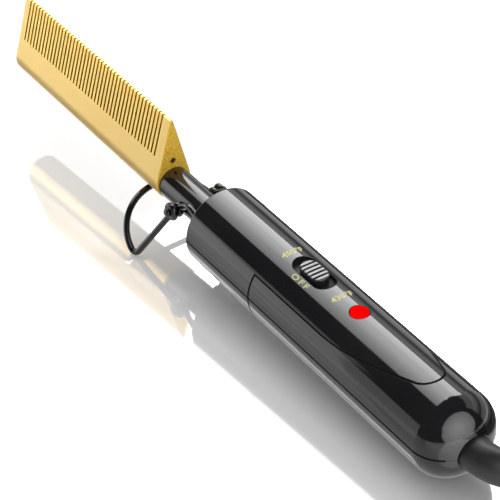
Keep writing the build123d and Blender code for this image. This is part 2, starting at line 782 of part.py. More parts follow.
stub_end_x = cord_clamp_x + 6.0
with BuildPart() as mains_leads:
    with BuildSketch(station(tail_wall + neck_fit + boot_flange)):
        Circle(cord_radius)
    extrude(amount=stub_end_x - tail_wall - neck_fit - boot_flange)
    for y, pad_y in ((cord_lead_y, lead_pad_y), (-cord_lead_y, -lead_pad_y)):
        with BuildLine():
            lead = FilletPolyline(
                at(stub_end_x - 0.5, y, 0),
                at(stub_end_x + 2, y, 0),
                at(rear_screw_x - 4, pad_y, lead_end_z / 3),
                at(board_back_x - 6, pad_y, lead_end_z),
                at(board_back_x, pad_y, lead_end_z),
                radius=4.0,
            )
        with BuildSketch(Plane(lead @ 0, z_dir=along)):
            Circle(heater_lead_radius)
        sweep(path=lead)
finish(mains_leads, "mains_leads")

with BuildPart() as cord_clamp:
    with BuildSketch(plan(cord_radius + clamp_fit)):
        with Locations((cord_clamp_x, 0)):
            SlotOverall(2 * cord_clamp_y + 5, 5.0, rotation=90)
        with Locations((cord_clamp_x, cord_clamp_y), (cord_clamp_x, -cord_clamp_y)):
            Circle(screw_radius + screw_fit, mode=Mode.SUBTRACT)
    extrude(amount=cord_clamp_bar)
finish(cord_clamp, "cord_clamp")


def screw(x, y, seat_z, length, head_below):
    """A pan-head screw: the shank runs away from its head's seat."""
    way = 1 if head_below else -1
    upright(x, y, screw_head_radius, seat_z - way * screw_head, seat_z)
    upright(x, y, screw_radius - 0.05, seat_z, seat_z + way * length)


with BuildPart() as shell_screws:
    screw(rear_screw_x, 0, rear_screw_seat_z, screw_bite - rear_screw_seat_z, head_below=True)
    for x, y in front_screws:
        screw(x, y, front_screw_seat_z, screw_bite - front_screw_seat_z, head_below=True)
finish(shell_screws, "shell_screws")

with BuildPart() as clamp_screws:
    for y in (cord_clamp_y, -cord_clamp_y):
        screw(cord_clamp_x, y, cord_radius + clamp_fit + cord_clamp_bar, clamp_screw_length, head_below=False)
finish(clamp_screws, "clamp_screws")

# ---------------------------------------------------------------- mains cord, hank and plug


def cord_tube(points):
    """A round tube along straight runs and the largest tangent arcs that they leave room for."""
    radii = []
    for before, here, after in zip(points, points[1:], points[2:]):
        run_in = here - before
        run_out = after - here
        half_turn = radians(run_in.get_angle(run_out)) / 2
        radii.append(0.45 * min(run_in.length, run_out.length) / tan(half_turn))
    print("cord radii", [round(radius, 1) for radius in radii])
    with BuildLine() as route:
        path = FilletPolyline(*points, radius=radii)
    with BuildSketch(Plane(path @ 0, z_dir=path % 0)) as section:
        Circle(cord_radius)
    sweep(section.sketch, path=route.line)
    print("cord length", round(path.length, 1))


hank_lift = tie_fit + tie_strap     # the tie's strap lies under the turns
hank_height = 2 * hank_layers * cord_radius
hank_top = hank_lift + hank_height
lower_turn_z = hank_lift + cord_radius

mains_cord_points = [
    boot_end,
    Vector(-183.4, -35.1, 4.6),
    Vector(-193.1, -43.7, lower_turn_z),
    Vector(-205.1, -48.6, lower_turn_z),
    Vector(-218.0, -49.4, lower_turn_z),
    Vector(-230.4, -45.9, lower_turn_z),
]

with BuildPart() as mains_cord:
    cord_tube(mains_cord_points)
finish(mains_cord, "mains_cord")

# each side of the hank is an arc about a point this far from its middle, which meets both folds smoothly
side_reach = (hank_reach**2 - hank_pinch**2) / (2 * hank_pinch)
side_angle = degrees(atan(hank_reach / side_reach))


def hank_face(fold_radius):
    """A closed outline of two round folds and two sides drawn in between them, as a face."""
    side_radius = side_reach + hank_pinch - fold_radius
    with BuildSketch(Plane((hank_x, hank_y, hank_lift))) as face:
        with BuildLine():
            for way, turned in ((1, 0), (-1, 180)):
                CenterArc((way * hank_reach, 0), fold_radius, turned - 90 - side_angle, 180 + 2 * side_angle)
                CenterArc((0, way * side_reach), side_radius, turned + 270 - side_angle, 2 * side_angle)
        make_face()
    return face.sketch


with BuildPart() as cord_hank:
    extrude(hank_face(hank_fold + hank_spread), amount=hank_height)
    extrude(hank_face(hank_fold - hank_spread), amount=hank_height, mode=Mode.SUBTRACT)
    rims = edges().group_by(Axis.Z)
    fillet(rims[0] + rims[-1], hank_round)
finish(cord_hank, "cord_hank")

waist_radius = side_reach + hank_pinch - hank_fold - hank_spread
waist = side_reach - sqrt(waist_radius**2 - (tie_width / 2) ** 2)     # half the width under the tie's edges
with BuildPart() as cord_tie:
    tie_edge = Vector(hank_x - tie_width / 2, hank_y, hank_lift + hank_height / 2)
    with BuildSketch(Plane(tie_edge, x_dir=(0, 1, 0), z_dir=(1, 0, 0))):
        strap_out = tie_fit + tie_strap
        for margin, mode in ((strap_out, Mode.ADD), (tie_fit, Mode.SUBTRACT)):
            RectangleRounded(2 * (waist + margin), hank_height + 2 * margin, hank_round + margin, mode=mode)
    extrude(amount=tie_width)
finish(cord_tie, "cord_tie")

plug_way = Vector(-1, 0, 0)
plug_start = Vector(plug_x, plug_y, hank_top + plug_thickness / 2)

cord_end_points = [
    Vector(-206.0, -35.2, hank_top - 1.6),
    Vector(-219.0, -33.2, hank_top + 1.2),
    plug_start - plug_way * 14,
    plug_start,
]

with BuildPart() as cord_end:
    cord_tube(cord_end_points)
finish(cord_end, "cord_end")


def plug_station(distance):
    """Plane across the plug: its own x is level, its own y is up."""
    level = Vector(0, 0, 1).cross(plug_way)
    return Plane(plug_start + plug_way * distance, x_dir=level, z_dir=plug_way)


with BuildPart() as plug_body:
    with BuildSketch(plug_station(0)):
        Circle(boot_end_radius)
    with BuildSketch(plug_station(plug_relief)):
        Circle(plug_thickness / 2 - 1.2)
    loft()
    with BuildSketch(plug_station(plug_relief)):
        RectangleRounded(plug_thickness - 2, plug_thickness - 2.4, 4.5)
    with BuildSketch(plug_station(plug_relief + plug_shoulder)):
        RectangleRounded(plug_width, plug_thickness, 4.5)
    loft()
    with BuildSketch(plug_station(plug_relief + plug_shoulder)):
        RectangleRounded(plug_width, plug_thickness, 4.5)
    extrude(amount=plug_body_length)
    fillet(faces().sort_by(Axis(plug_start, plug_way))[-1].edges(), 1.0)
    with BuildSketch(plug_station(plug_relief + plug_shoulder + plug_body_length - blade_root)):
        with GridLocations(blade_spacing, 0, 2, 1):
            Rectangle(blade_thickness, blade_width)
    extrude(amount=blade_root + 1, mode=Mode.SUBTRACT)
finish(plug_body, "plug_body")

with BuildPart() as plug_blades:
    with BuildSketch(plug_station(plug_relief + plug_shoulder + plug_body_length - blade_root)):
        with GridLocations(blade_spacing, 0, 2, 1):
            Rectangle(blade_thickness, blade_width)
    extrude(amount=blade_root + blade_length)
finish(plug_blades, "plug_blades")
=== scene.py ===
from math import atan, cos, pi, radians, sin, tan

import bmesh
import bpy
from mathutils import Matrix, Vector
from mathutils.bvhtree import BVHTree
from mathutils.geometry import barycentric_transform


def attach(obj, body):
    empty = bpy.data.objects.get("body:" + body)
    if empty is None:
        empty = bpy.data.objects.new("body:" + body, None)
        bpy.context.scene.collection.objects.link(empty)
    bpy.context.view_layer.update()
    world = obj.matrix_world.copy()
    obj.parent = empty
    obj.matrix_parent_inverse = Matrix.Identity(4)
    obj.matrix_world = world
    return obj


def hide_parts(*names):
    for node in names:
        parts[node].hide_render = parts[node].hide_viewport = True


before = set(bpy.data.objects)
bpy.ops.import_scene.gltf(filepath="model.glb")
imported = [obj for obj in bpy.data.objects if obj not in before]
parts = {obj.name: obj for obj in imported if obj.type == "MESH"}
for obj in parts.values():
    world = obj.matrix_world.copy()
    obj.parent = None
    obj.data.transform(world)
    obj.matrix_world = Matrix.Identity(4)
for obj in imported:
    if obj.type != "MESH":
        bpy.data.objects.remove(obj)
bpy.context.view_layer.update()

# ------------------------------------------------------------------ barrel tube
# Thin steel tube that carries the comb ahead of the handle and hides the heater's leads. It is clamped
# inside the handle and sprayed with black heat-resistant enamel, which dries with a faint orange peel.

tail_end = Vector((-0.149637, 0.0, 0.015944))
along = Vector((0.998971, 0.0, 0.045363))
across = Vector((0.0, 1.0, 0.0))
upward = Vector((-0.045363, 0.0, 0.998971))


def on_tool(x, y, z):
    """A place in millimetres along, across and square to the tool's axis, from the tail's end."""
    return tail_end + (along * x + across * y + upward * z) / 1000


def finish(name, colour, roughness, metallic=0.0):
    """A new material, with its node tree and its shader."""
    material = bpy.data.materials.new(name)
    material.use_nodes = True
    tree = material.node_tree
    shader = tree.nodes["Principled BSDF"]
    shader.inputs["Base Color"].default_value = (*colour, 1)
    shader.inputs["Roughness"].default_value = roughness
    shader.inputs["Metallic"].default_value = metallic
    return material, tree, shader


def wear(piece, *materials):
    piece.data.materials.clear()
    for material in materials:
        piece.data.materials.append(material)


def node(tree, kind, **settings):
    made = tree.nodes.new(kind)
    for name, value in settings.items():
        setattr(made, name, value)
    return made


def feed(tree, source, target):
    """Joins an output to an input, or writes a plain value into the input."""
    if isinstance(source, bpy.types.NodeSocket):
        tree.links.new(source, target)
    else:
        target.default_value = source


def maths(tree, operation, first, second=0.0, third=0.0):
    """The result of a sum on one, two or three values."""
    made = node(tree, "ShaderNodeMath", operation=operation)
    for source, target in zip((first, second, third), made.inputs):
        feed(tree, source, target)
    return made.outputs[0]


def stretch(tree, value, low, high, new_low=0.0, new_high=1.0):
    """A value moved from one range to another, and kept inside it."""
    made = node(tree, "ShaderNodeMapRange", clamp=True)
    for source, target in zip((value, low, high, new_low, new_high), made.inputs):
        feed(tree, source, target)
    return made.outputs["Result"]


def blend_colour(tree, share, first, second):
    made = node(tree, "ShaderNodeMix", data_type="RGBA")
    feed(tree, share, made.inputs["Factor"])
    feed(tree, first if isinstance(first, bpy.types.NodeSocket) else (*first, 1), made.inputs["A"])
    feed(tree, second if isinstance(second, bpy.types.NodeSocket) else (*second, 1), made.inputs["B"])
    return made.outputs["Result"]


def speckle(tree, place, scale, detail=2.0):
    made = node(tree, "ShaderNodeTexNoise")
    feed(tree, place, made.inputs["Vector"])
    feed(tree, scale, made.inputs["Scale"])
    made.inputs["Detail"].default_value = detail
    return made.outputs["Fac"]


def effect(name, takes, gives):
    """An empty shader node group with named inputs and outputs."""
    group = bpy.data.node_groups.new(name, "ShaderNodeTree")
    for socket, value in takes.items():
        made = group.interface.new_socket(socket, in_out="INPUT", socket_type="NodeSocketFloat")
        made.default_value = value
    for socket, kind in gives.items():
        group.interface.new_socket(socket, in_out="OUTPUT", socket_type=kind)
    return group, node(group, "NodeGroupInput").outputs, node(group, "NodeGroupOutput").inputs


def use_effect(tree, group, **values):
    made = node(tree, "ShaderNodeGroup", node_tree=group)
    for name, value in values.items():
        feed(tree, value, made.inputs[name])
    return made.outputs


def bump(tree, shader, height, depth, strength):
    made = node(tree, "ShaderNodeBump")
    made.inputs["Strength"].default_value = strength
    made.inputs["Distance"].default_value = depth
    tree.links.new(height, made.inputs["Height"])
    tree.links.new(made.outputs["Normal"], shader.inputs["Normal"])


# faint waviness of a sprayed or moulded skin, with patches that hands have dulled
skin, takes, gives = effect(
    "moulded skin",
    {"Grain": 900.0, "Patches": 30.0, "Polished": 0.08, "Dulled": 0.14},
    {"Height": "NodeSocketFloat", "Roughness": "NodeSocketFloat", "Patch": "NodeSocketFloat"},
)
place = node(skin, "ShaderNodeTexCoord").outputs["Object"]
feed(skin, speckle(skin, place, takes["Grain"]), gives["Height"])
patch = stretch(skin, speckle(skin, place, takes["Patches"], 4.0), 0.35, 0.68)
feed(skin, patch, gives["Patch"])
feed(skin, stretch(skin, patch, 0.0, 1.0, takes["Polished"], takes["Dulled"]), gives["Roughness"])


def grained(name, colours, grain, patches, roughness, depth=0.0, strength=0.0, metallic=0.0):
    """A finish whose patches differ a little in colour and roughness, with a grain of the given depth."""
    middle = [sum(pair) / 2 for pair in zip(*colours)]
    material, tree, shader = finish(name, middle, sum(roughness) / 2, metallic)
    made = use_effect(tree, skin, Grain=grain, Patches=patches, Polished=roughness[0], Dulled=roughness[1])
    feed(tree, made["Roughness"], shader.inputs["Roughness"])
    feed(tree, blend_colour(tree, made["Patch"], *colours), shader.inputs["Base Color"])
    if depth:
        bump(tree, shader, made["Height"], depth, strength)
    return material, shader


enamel, _ = grained(
    "black heat enamel",
    colours=((0.009, 0.009, 0.010), (0.014, 0.014, 0.014)),
    grain=620.0, patches=45.0, roughness=(0.07, 0.13),
    depth=0.00004, strength=0.25,
)
wear(parts["barrel_tube"], enamel)

# ------------------------------------------------------------------ heater
# Ceramic rod in a ceramic sleeve, pushed up the comb's bore, with two leads in woven glass sleeving.
# Both are fired unglazed and off-white, and only show where the comb is taken apart.

ceramic, _ = grained(
    "unglazed ceramic",
    colours=((0.80, 0.77, 0.70), (0.88, 0.86, 0.81)),
    grain=2400.0, patches=120.0, roughness=(0.6, 0.8),
    depth=0.00005, strength=0.4,
)
wear(parts["heater_rod"], ceramic)
wear(parts["heater_sleeve"], ceramic)

sleeving, tree, shader = finish("glass sleeving", (0.8, 0.8, 0.77), 0.8)
place = node(tree, "ShaderNodeTexCoord").outputs["Object"]
braid = node(tree, "ShaderNodeTexWave", wave_type="BANDS", bands_direction="DIAGONAL")
feed(tree, place, braid.inputs["Vector"])
braid.inputs["Scale"].default_value = 700.0
woven = blend_colour(tree, braid.outputs["Fac"], (0.62, 0.61, 0.57), (0.86, 0.86, 0.83))
feed(tree, woven, shader.inputs["Base Color"])
bump(tree, shader, braid.outputs["Fac"], 0.0001, 0.6)
wear(parts["heater_leads"], sleeving)

# ------------------------------------------------------------------ comb head
# Solid brass drop-section bar, saw-cut into teeth, blasted to an even satin and gold plated. The end faces
# keep a coarser sparkle, the cuts are browner inside, and a highlight is painted along its edges.

comb_x = 185.7
comb_length = 0.1139              # in metres, like the ones below
end_chamfer = (0.0009, 0.0014)    # past it, a face square to the comb is a saw cut's
# painted light and shade: the flank is painted paler where it turns under, and the spine is painted dark
# below it
painted_paler_turn = (-0.0022, -0.0010)  # height from the axis, below which the flank is paler
painted_spine_shade = (-0.0056, -0.0052)        # and below which it is dark

# mask for a painted highlight along a solid's edges, from how far a rounded normal turns from the flat one
rim, takes, gives = effect("painted edge highlight", {"Width": 0.0003, "Contrast": 6.0}, {"Edge": "NodeSocketFloat"})
rounded = node(rim, "ShaderNodeBevel", samples=6)
feed(rim, takes["Width"], rounded.inputs["Radius"])
facing = node(rim, "ShaderNodeVectorMath", operation="DOT_PRODUCT")
feed(rim, rounded.outputs["Normal"], facing.inputs[0])
feed(rim, node(rim, "ShaderNodeNewGeometry").outputs["Normal"], facing.inputs[1])
turning = maths(rim, "SUBTRACT", 1.0, facing.outputs["Value"])
turning = maths(rim, "MULTIPLY", turning, takes["Contrast"])
feed(rim, maths(rim, "MINIMUM", turning, 1.0), gives["Edge"])


def measured(tree, direction, from_place):
    """How far a point of the piece lies in a direction, in metres."""
    place = node(tree, "ShaderNodeTexCoord").outputs["Object"]
    made = node(tree, "ShaderNodeVectorMath", operation="DOT_PRODUCT")
    feed(tree, place, made.inputs[0])
    made.inputs[1].default_value = direction
    return maths(tree, "SUBTRACT", made.outputs["Value"], from_place.dot(direction))


gold, tree, shader = finish("blasted gold plate", (0.84, 0.62, 0.24), 0.42, metallic=1.0)
coords = node(tree, "ShaderNodeTexCoord")
lengthwise = node(tree, "ShaderNodeVectorMath", operation="DOT_PRODUCT")
feed(tree, coords.outputs["Normal"], lengthwise.inputs[0])
lengthwise.inputs[1].default_value = along
square_on = stretch(tree, maths(tree, "ABSOLUTE", lengthwise.outputs["Value"]), 0.6, 0.9)
from_base = measured(tree, along, on_tool(comb_x, 0, 0))
off_ends = maths(
    tree,
    "MULTIPLY",
    stretch(tree, from_base, *end_chamfer),
    stretch(tree, maths(tree, "SUBTRACT", comb_length, from_base), *end_chamfer),
)
saw_cut = maths(tree, "MULTIPLY", square_on, off_ends)
end_face = maths(tree, "SUBTRACT", square_on, saw_cut)
grain = speckle(tree, coords.outputs["Object"], 5200.0)
cloud = speckle(tree, coords.outputs["Object"], 60.0, 3.0)
flank = blend_colour(tree, stretch(tree, grain, 0.3, 0.7), (0.56, 0.395, 0.135), (0.68, 0.50, 0.20))
flank = blend_colour(tree, stretch(tree, cloud, 0.3, 0.7, 0.0, 0.35), flank, (0.54, 0.38, 0.13))
height = measured(tree, upward, tail_end)
# painted light where the flank turns under, then painted shade along the spine
flank = blend_colour(tree, stretch(tree, height, *painted_paler_turn, 1.0, 0.0), flank, (0.84, 0.60, 0.24))
flank = blend_colour(tree, stretch(tree, height, *painted_spine_shade, 1.0, 0.0), flank, (0.15, 0.10, 0.015))
coarse = speckle(tree, coords.outputs["Object"], 2400.0)
sparkle = blend_colour(tree, stretch(tree, coarse, 0.42, 0.58), (0.84, 0.38, 0.005), (1.0, 0.76, 0.09))
browned = blend_colour(tree, stretch(tree, grain, 0.3, 0.7), (0.66, 0.36, 0.025), (0.88, 0.56, 0.08))
plate = blend_colour(tree, end_face, flank, sparkle)
plate = blend_colour(tree, saw_cut, plate, browned)
# painted highlight: the plate is lightened to bright yellow along its edges
edge = use_effect(tree, rim, Width=0.0005, Contrast=8.0)["Edge"]
plate = blend_colour(tree, maths(tree, "MULTIPLY", edge, 0.85), plate, (1.0, 0.80, 0.14))
feed(tree, plate, shader.inputs["Base Color"])
rough = stretch(tree, grain, 0.3, 0.7, 0.36, 0.52)
rough = maths(tree, "SUBTRACT", rough, maths(tree, "MULTIPLY", edge, 0.14))
feed(tree, maths(tree, "MULTIPLY_ADD", end_face, 0.15, rough), shader.inputs["Roughness"])
feed(tree, maths(tree, "MULTIPLY_ADD", end_face, -0.65, 1.0), shader.inputs["Metallic"])
bump(tree, shader, grain, 0.00006, 0.5)
wear(parts["comb_head"], gold)

# ------------------------------------------------------------------ board and what it carries
# Glass-fibre board with the slide switch, the lamp, the triac, the capacitor and the thermal fuse. It
# is dipped in green solder mask, stands on the lower shell's posts, and stays hidden in the handle.

board_green, _ = grained(
    "solder mask",
    colours=((0.015, 0.13, 0.05), (0.03, 0.2, 0.08)),
    grain=1800.0, patches=200.0, roughness=(0.25, 0.4),
    depth=0.00003, strength=0.4,
)
wear(parts["control_board"], board_green)

steel, _ = grained(
    "zinc plated steel",
    colours=((0.50, 0.51, 0.54), (0.68, 0.67, 0.66)),
    grain=1500.0, patches=400.0, roughness=(0.25, 0.5),
    depth=0.00003, strength=0.3, metallic=1.0,
)
for name in ("tube_clamp", "thermal_fuse", "cord_clamp", "clamp_screws", "shell_screws"):
    wear(parts[name], steel)

resin, _ = grained(
    "yellow dipped resin",
    colours=((0.68, 0.44, 0.03), (0.80, 0.56, 0.07)),
    grain=700.0, patches=300.0, roughness=(0.3, 0.5),
    depth=0.00008, strength=0.4,
)
wear(parts["capacitor"], resin)

matt_black, _ = grained(
    "matt black moulding",
    colours=((0.012, 0.012, 0.013), (0.022, 0.022, 0.022)),
    grain=2600.0, patches=80.0, roughness=(0.42, 0.6),
    depth=0.00004, strength=0.5,
)
for name in ("switch_body", "triac", "nose_ring"):
    wear(parts[name], matt_black)

# ------------------------------------------------------------------ handle shells
# Four glossy black shells moulded from nylon: the front collar's lower half, the front cover with its
# long tongue over the top, and the two rear halves. Their rounded edges are left matt by the mould, so
# each joint shows as a dark line. The switch recess is matt too, and darkened with painted shade.

handle_radius = 16.5
dome_length = 13.4
boot_hole = 10.0
skin_depth = 0.1
dome_share = 0.96                # of the dome's ellipse: a point further out is on the dome's skin
edge_round = 0.0004              # in metres, like the ones below
weld = 0.000002
# inside this radius the switch recess is dulled, and darkened with painted shade
recess_radius = (0.0156, 0.0162)   # radius from the axis
past_dome = (0.0135, 0.0145)     # from the tail's end
hard_edge = radians(50)

gloss, tree, shader = finish("gloss black shell", (0.0075, 0.0075, 0.0085), 0.06)
moulded = use_effect(tree, skin, Grain=240.0, Patches=26.0, Polished=0.05, Dulled=0.085)
skin_colour = blend_colour(tree, moulded["Patch"], (0.0070, 0.0070, 0.0080), (0.0105, 0.0105, 0.0115))
bump(tree, shader, moulded["Height"], 0.00002, 0.12)
sidewise = maths(tree, "POWER", measured(tree, across, tail_end), 2.0)
height = maths(tree, "POWER", measured(tree, upward, tail_end), 2.0)
from_axis = maths(tree, "SQRT", maths(tree, "ADD", sidewise, height))
off_dome = stretch(tree, measured(tree, along, tail_end), *past_dome)
# the switch recess is made rougher, and its colour is darkened as painted shade
recess_shade_and_matt = maths(tree, "MULTIPLY", stretch(tree, from_axis, *recess_radius, 1.0, 0.0), off_dome)
feed(tree, blend_colour(tree, recess_shade_and_matt, skin_colour, (0.003, 0.003, 0.003)), shader.inputs["Base Color"])
feed(tree, maths(tree, "MULTIPLY_ADD", recess_shade_and_matt, 0.6, moulded["Roughness"]), shader.inputs["Roughness"])

matt_edge, shader = grained(
    "matt shell edge",
    colours=((0.003, 0.003, 0.003), (0.006, 0.006, 0.006)),
    grain=2600.0, patches=200.0, roughness=(0.5, 0.62),
    depth=0.00003, strength=0.3,
)
shader.inputs["Specular IOR Level"].default_value = 0.1


def on_outer_skin(place):
    """Whether a point lies on the handle's cylinder or its dome, away from the hole for the boot."""
    reach = place - tail_end
    x = reach.dot(along) * 1000
    radius = (reach - along * reach.dot(along)).length * 1000
    if x < dome_length:
        on_dome = ((dome_length - x) / dome_length) ** 2 + (radius / handle_radius) ** 2 > dome_share
        return on_dome and radius > boot_hole
    return radius > handle_radius - skin_depth


def placed(name, data):
    """A new object in the scene."""
    piece = bpy.data.objects.new(name, data)
    bpy.context.scene.collection.objects.link(piece)
    return piece


def moulding(name, source, width):
    """A shell with its hard edges rounded; the faces between them keep the CAD part's own normals."""
    piece = placed(name, source.data.copy())
    wear(piece, gloss, matt_edge)
    mesh = piece.data
    shape = bmesh.new()
    shape.from_mesh(mesh)
    bmesh.ops.remove_doubles(shape, verts=shape.verts, dist=weld)
    outer_edges = [
        edge for edge in shape.edges
        if len(edge.link_faces) == 2
        and edge.calc_face_angle() > hard_edge
        and all(on_outer_skin(vertex.co) for vertex in edge.verts)
    ]
    for face in shape.faces:
        face.material_index = 0
    bmesh.ops.bevel(
        shape,
        geom=outer_edges,
        offset=width,
        offset_type="OFFSET",
        segments=3,
        profile=0.5,
        affect="EDGES",
        clamp_overlap=False,
        loop_slide=False,
        material=1,
    )
    shape.to_mesh(mesh)
    shape.free()

    places = [vertex.co for vertex in source.data.vertices]
    faces = [tuple(face.vertices) for face in source.data.polygons]
    first_corners = [face.loop_start for face in source.data.polygons]
    own_normals = [corner.vector for corner in source.data.corner_normals]
    own_surface = BVHTree.FromPolygons(places, faces)
    normals = [Vector((0, 0, 1)) for _ in mesh.loops]
    across_edge = [Vector() for _ in mesh.vertices]
    from_face = {}
    for face in mesh.polygons:
        if face.material_index:
            for vertex in face.vertices:
                across_edge[vertex] += face.normal * face.area
            continue
        found = own_surface.find_nearest(face.center)[2]
        triangle = [places[vertex] for vertex in faces[found]]
        given = own_normals[first_corners[found]:first_corners[found] + 3]
        for corner, vertex in zip(face.loop_indices, face.vertices):
            normal = barycentric_transform(mesh.vertices[vertex].co, *triangle, *given)
            normals[corner] = normal.normalized()
            from_face.setdefault(vertex, []).append(normals[corner])
    # along a rounded edge, the normal turns from one face's to the other's
    for face in mesh.polygons:
        if face.material_index:
            for corner, vertex in zip(face.loop_indices, face.vertices):
                choices = from_face.get(vertex, [across_edge[vertex].normalized()])
                normals[corner] = max(choices, key=face.normal.dot)
    mesh.normals_split_custom_set(normals)
    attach(piece, "handle")
    return piece


for name in ("front_upper_cover", "front_lower_shell", "rear_upper_shell", "rear_lower_shell"):
    shell = moulding(f"{name}_moulding", parts[name], edge_round)
    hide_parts(name)

# ------------------------------------------------------------------ printed marks
# The two heat settings and OFF beside the slide switch, pad-printed in pale yellow ink. The ink lies
# on the tongue's curve, a few hundredths of a millimetre thick, with slightly uneven cover.

ink_film = 0.03
longest_edge = 0.12  # of a letter one unit high, so that it bends with the handle

ink, shader = grained(
    "pale yellow ink",
    colours=((0.96, 0.88, 0.36), (1.0, 0.96, 0.50)),
    grain=3000.0, patches=700.0, roughness=(0.35, 0.55),
)
shader.inputs["Specular IOR Level"].default_value = 0.15


def printed(words, name, middle, length, height, reads, spacing, weight):
    """Words on the handle's curve; reads is the way that they run, across it or towards the tail."""
    middle_x, middle_y = middle
    curve = bpy.data.curves.new(name, "FONT")
    curve.body = words
    curve.resolution_u = 6
    curve.space_character = spacing
    curve.offset = weight
    source = placed(name, curve)
    mesh = bpy.data.meshes.new_from_object(source.evaluated_get(bpy.context.evaluated_depsgraph_get()))
    bpy.data.objects.remove(source)
    shape = bmesh.new()
    shape.from_mesh(mesh)
    for _ in range(2):
        long_edges = [edge for edge in shape.edges if edge.calc_length() > longest_edge]
        bmesh.ops.subdivide_edges(shape, edges=long_edges, cuts=1)
    bmesh.ops.triangulate(shape, faces=shape.faces)
    low = Vector(min(vertex.co[side] for vertex in shape.verts) for side in (0, 1))
    high = Vector(max(vertex.co[side] for vertex in shape.verts) for side in (0, 1))
    for vertex in shape.verts:
        run = ((vertex.co.x - low.x) / (high.x - low.x) - 0.5) * length
        rise = ((vertex.co.y - low.y) / (high.y - low.y) - 0.5) * height
        if reads == "across":
            x, y = middle_x + rise, middle_y - run
        else:
            x, y = middle_x - run, middle_y - rise
        turn = y / handle_radius
        radius = handle_radius + ink_film
        vertex.co = on_tool(x, radius * sin(turn), radius * cos(turn))
    shape.to_mesh(mesh)
    shape.free()
    piece = placed(name, mesh)
    wear(piece, ink)
    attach(piece, "handle")


printed("450°F", "mark_450", (105.4, -0.3), 8.9, 2.9, "across", spacing=1.06, weight=0.035)
printed("430°F", "mark_430", (74.7, -0.1), 9.2, 2.9, "across", spacing=1.06, weight=0.035)
printed("OFF", "mark_off", (90.9, 6.5), 9.2, 2.25, "to tail", spacing=1.4, weight=0.015)

# ------------------------------------------------------------------ slide switch and pilot light
# Black nylon knob whose ribbed top is moulded in light grey, sliding in the tongue's recess, and a red
# lens clipped in behind it. The lens glows evenly, because the lamp below it lights its whole width.

recess_x = 91.0
groove_pitch = 0.002
rib_edge = (0.00052, 0.00066)    # from the middle of a groove
rim_start = (0.0026, 0.0028)     # the grooves stop short of the knob's sides
grey_start = (0.01725, 0.01745)  # height from the axis

knob_grey, tree, shader = finish("switch knob", (0.4, 0.4, 0.41), 0.4)
rub = use_effect(tree, skin, Grain=2000.0, Patches=500.0, Polished=0.3, Dulled=0.5)
top = stretch(tree, measured(tree, upward, tail_end), *grey_start)
grey = blend_colour(tree, rub["Patch"], (0.42, 0.42, 0.425), (0.56, 0.56, 0.56))
from_groove = maths(tree, "PINGPONG", measured(tree, along, on_tool(recess_x, 0, 0)), groove_pitch / 2)
sidewise = maths(tree, "ABSOLUTE", measured(tree, across, tail_end))
rib_top = maths(tree, "MAXIMUM", stretch(tree, from_groove, *rib_edge), stretch(tree, sidewise, *rim_start))
grey = blend_colour(tree, rib_top, (0.03, 0.03, 0.03), grey)
# painted highlight: the knob's grey top is lightened along its edges
edge = use_effect(tree, rim, Width=0.0002, Contrast=5.0)["Edge"]
grey = blend_colour(tree, maths(tree, "MULTIPLY", edge, 0.6), grey, (0.75, 0.75, 0.75))
feed(tree, blend_colour(tree, top, (0.012, 0.012, 0.012), grey), shader.inputs["Base Color"])
feed(tree, rub["Roughness"], shader.inputs["Roughness"])
bump(tree, shader, rub["Height"], 0.00003, 0.3)
wear(parts["switch_knob"], knob_grey)

red, shader = grained(
    "lit red lens",
    colours=((0.80, 0.0, 0.0), (0.92, 0.004, 0.002)),
    grain=900.0, patches=260.0, roughness=(0.45, 0.55),
)
shader.inputs["Specular IOR Level"].default_value = 0.02
shader.inputs["IOR"].default_value = 1.05
shader.inputs["Emission Color"].default_value = (1.0, 0.0, 0.0, 1)
shader.inputs["Emission Strength"].default_value = 0.55
wear(parts["pilot_lens"], red)
wear(parts["pilot_lamp"], red)

# ------------------------------------------------------------------ stand bracket and wire stand
# Hard steel wire, bent cold and dipped in gloss black. Each of the bracket's two arms ends in a turn
# round the hinge's line and a headed pin, and the stand's eyes turn on the pins.

wire_radius = 1.3
pin_radius = 1.08
hinge_x = 169.6
arm_y = 8.4
eye_y = 11.2
eye_radius = 2.45
arm_turn_radius = 1.9
pin_end_y = 13.1
head_radius = 2.0
arm_bends = [0.006, 0.0045]  # in metres

wire_black, _ = grained(
    "gloss black wire",
    colours=((0.003, 0.003, 0.003), (0.008, 0.008, 0.008)),
    grain=700.0, patches=160.0, roughness=(0.08, 0.2),
    depth=0.00006, strength=0.35,
)


def bent(corners, bends):
    """The middle line of a wire that is straight between corners and has an arc at each one."""
    points = [corners[0]]
    for before, corner, after, bend in zip(corners, corners[1:], corners[2:], bends):
        back, on = (before - corner).normalized(), (after - corner).normalized()
        half = back.angle(on) / 2
        middle = corner + (back + on).normalized() * bend / sin(half)
        start = (corner + back * bend / tan(half) - middle).normalized()
        end = (corner + on * bend / tan(half) - middle).normalized()
        points += [middle + start.slerp(end, step / 8) * bend for step in range(9)]
    return points + [corners[-1]]


def turn_of_wire(y, radius):
    """One turn of wire round the hinge's line."""
    angles = (2 * pi * step / 32 for step in range(33))
    return [on_tool(hinge_x + radius * cos(angle), y, radius * sin(angle)) for angle in angles]


def wires(name, runs, body):
    """A piece of round wires along several lines; each run is its points and its own radius."""
    curve = bpy.data.curves.new(name, "CURVE")
    curve.dimensions = "3D"
    curve.bevel_depth = wire_radius / 1000
    curve.bevel_resolution = 5
    curve.use_fill_caps = True
    for points, radius in runs:
        run = curve.splines.new("POLY")
        run.points.add(len(points) - 1)
        for point, where in zip(run.points, points):
            point.co = (*where, 1)
            point.radius = radius / wire_radius
    piece = placed(name, curve)
    wear(piece, wire_black)
    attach(piece, body)
    return piece


